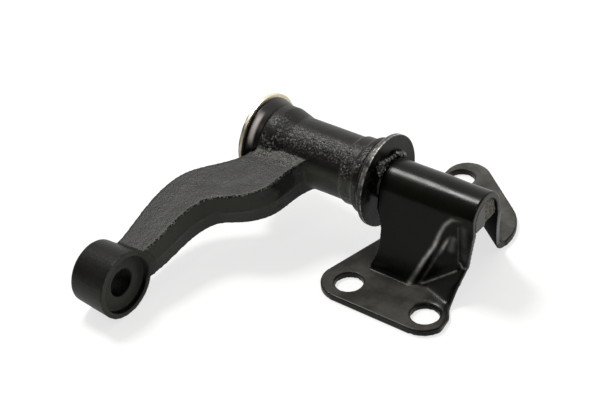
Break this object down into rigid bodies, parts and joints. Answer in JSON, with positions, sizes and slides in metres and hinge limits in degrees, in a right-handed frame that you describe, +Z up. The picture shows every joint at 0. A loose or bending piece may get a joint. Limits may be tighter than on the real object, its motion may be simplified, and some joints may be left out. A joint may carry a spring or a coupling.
{
  "type": "idler arm",
  "caption": "Steering idler arm: forged S-shaped arm with an eye, turning on a shaft welded into a pressed steel saddle bracket with bolt flanges.",
  "frame": {"origin": "midway between the two front bolt holes, on the underside of the flange", "axes": "+X along the pivot shaft to the free end of the saddle, +Y from the front flange to the rear ear, +Z up from the flange"},
  "size_m": [0.1441, 0.1892, 0.0593],
  "materials": {
    "black_paint": "glossy black paint over pressed steel",
    "forging_paint": "satin black paint over a forged skin",
    "shaft_steel": "satin dark grey paint on the end, ground steel inside",
    "raw_weld": "rough weld with thin paint",
    "zinc_yellow": "yellow zinc plate",
    "seal_rubber": "smooth dark grey",
    "bush_plastic": "natural"
  },
  "bodies": {
    "bracket": {"bracket": "black_paint", "pivot_shaft": "shaft_steel", "thrust_plate": "black_paint", "plate_weld": "black_paint", "end_weld": "raw_weld", "end_washer": "zinc_yellow", "end_nut": "zinc_yellow"},
    "arm": {"idler_arm": "forging_paint", "inner_bush": "bush_plastic", "outer_bush": "bush_plastic", "dust_seal": "seal_rubber", "dust_collar": "seal_rubber"}
  },
  "joints": [
    {"name": "arm_swing", "type": "hinge", "parent": "bracket", "child": "arm", "pos_m": [-0.055, 0.034, 0.038], "axis": [1, 0, 0], "range_deg": [-45, 45]}
  ]
}
